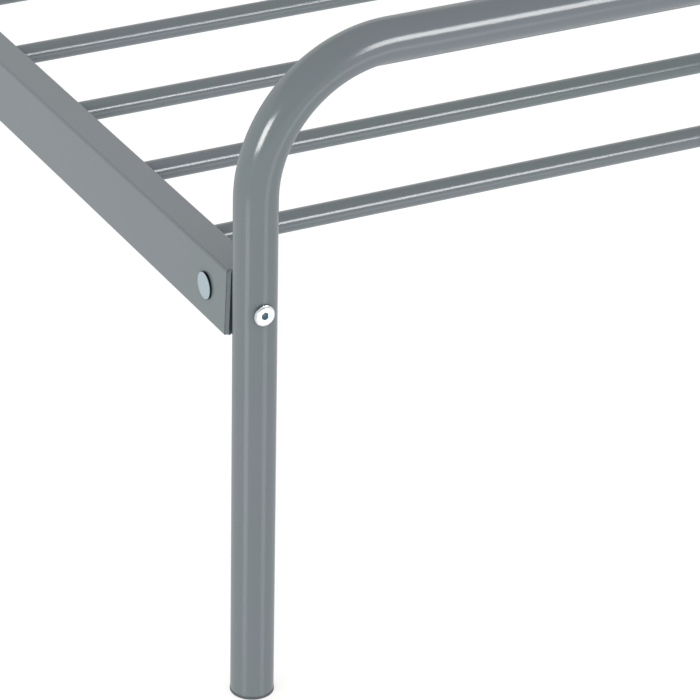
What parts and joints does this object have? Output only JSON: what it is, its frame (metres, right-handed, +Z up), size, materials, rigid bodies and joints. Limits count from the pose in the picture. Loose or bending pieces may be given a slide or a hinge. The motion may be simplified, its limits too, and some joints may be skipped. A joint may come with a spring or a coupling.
{
  "type": "metal bed frame",
  "caption": "Single bed frame of bent round tube ends bolted to rectangular side rails that carry welded round cross slats.",
  "frame": {"origin": "on the floor, under the middle of the bed", "axes": "+Z up, +Y from the foot end to the head end, +X across the bed"},
  "size_m": [0.9378, 1.9782, 0.8959],
  "materials": {
    "grey_paint": "satin grey powder coat",
    "zinc_bolt": "bright zinc plate",
    "zinc_nut": "blue-passivated zinc plate",
    "grey_plastic": "moulded grey plastic"
  },
  "bodies": {
    "root": {"barrel_nut_foot_left": "zinc_nut", "barrel_nut_foot_right": "zinc_nut", "barrel_nut_head_left": "zinc_nut", "barrel_nut_head_right": "zinc_nut", "foot_arch_tube": "grey_paint", "foot_plug_foot_left": "grey_plastic", "foot_plug_foot_right": "grey_plastic", "foot_plug_head_left": "grey_plastic", "foot_plug_head_right": "grey_plastic", "head_arch_tube": "grey_paint", "head_cross_tube_1": "grey_paint", "head_cross_tube_2": "grey_paint", "joint_bolt_foot_left": "zinc_bolt", "joint_bolt_foot_right": "zinc_bolt", "joint_bolt_head_left": "zinc_bolt", "joint_bolt_head_right": "zinc_bolt", "rail_saddle_foot_left": "grey_paint", "rail_saddle_foot_right": "grey_paint", "rail_saddle_head_left": "grey_paint", "rail_saddle_head_right": "grey_paint", "side_rail_left": "grey_paint", "side_rail_right": "grey_paint", "slat_01": "grey_paint", "slat_02": "grey_paint", "slat_03": "grey_paint", "slat_04": "grey_paint", "slat_05": "grey_paint", "slat_06": "grey_paint", "slat_07": "grey_paint", "slat_08": "grey_paint", "slat_09": "grey_paint", "slat_10": "grey_paint", "slat_11": "grey_paint", "slat_12": "grey_paint", "slat_13": "grey_paint", "slat_14": "grey_paint", "slat_15": "grey_paint", "slat_16": "grey_paint"}
  },
  "joints": []
}
